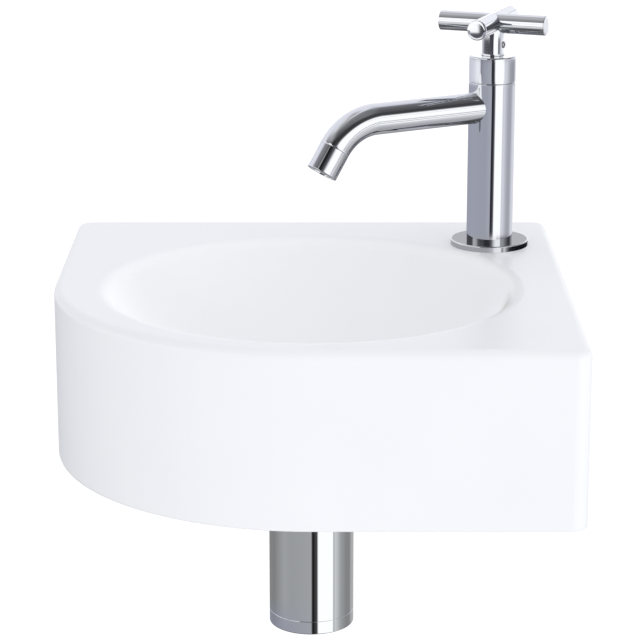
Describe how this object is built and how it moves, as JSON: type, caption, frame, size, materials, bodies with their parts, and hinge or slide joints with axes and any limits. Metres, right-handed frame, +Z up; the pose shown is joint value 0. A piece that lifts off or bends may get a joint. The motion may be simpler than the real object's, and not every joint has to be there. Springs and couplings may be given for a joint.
{
  "type": "hand basin with tap",
  "caption": "Wall-hung white hand basin with a round bowl, a big rounded front corner, a chrome cold-water tap with a cross handle and a chrome bottle trap.",
  "frame": {"origin": "on the wall face of the basin, midway between the two fixing bolt holes", "axes": "+X to the right for somebody who faces the basin, +Y into the wall, +Z up"},
  "size_m": [0.3, 0.33, 0.3517],
  "materials": {
    "glazed_ceramic": "gloss",
    "chrome": "polished",
    "brass": "machined",
    "rubber": "matte",
    "valve_ceramic": "lapped",
    "steel": "brushed",
    "white_plastic": "satin"
  },
  "bodies": {
    "basin_assembly": {"basin": "glazed_ceramic", "tap_base_plate": "chrome", "tap_base_seal": "rubber", "tap_tail": "brass", "tap_centring_ring": "white_plastic", "tap_deck_seal": "rubber", "tap_deck_washer": "steel", "tap_back_nut": "brass", "tap_body": "chrome", "spout": "chrome", "aerator_seal": "rubber", "aerator_insert": "white_plastic", "aerator_sleeve": "chrome", "valve_seal": "rubber", "fixed_disc": "valve_ceramic", "headwork_body": "brass", "spindle_seal": "rubber", "bonnet": "chrome", "waste_body": "chrome", "waste_flange_seal": "rubber", "waste_dome": "chrome", "waste_dome_screw": "steel", "waste_under_seal": "rubber", "waste_nut": "brass", "trap_union_nut": "chrome", "trap_union_seal": "rubber", "trap_dip_tube": "chrome", "trap_neck_nut": "chrome", "trap_neck_seal": "rubber", "trap_body": "chrome", "trap_bottom_cap": "chrome", "trap_cap_seal": "rubber", "outlet_nut": "chrome", "outlet_seal": "rubber", "outlet_pipe": "chrome", "wall_rosette": "chrome"},
    "handle": {"handle_cross": "chrome", "handle_grub_screw": "steel", "spindle": "brass", "moving_disc": "valve_ceramic"}
  },
  "joints": [
    {"name": "handle_turn", "type": "hinge", "parent": "basin_assembly", "child": "handle", "pos_m": [0.11, -0.062, 0.1876], "axis": [0, 0, 1], "range_deg": [0, 90]}
  ]
}
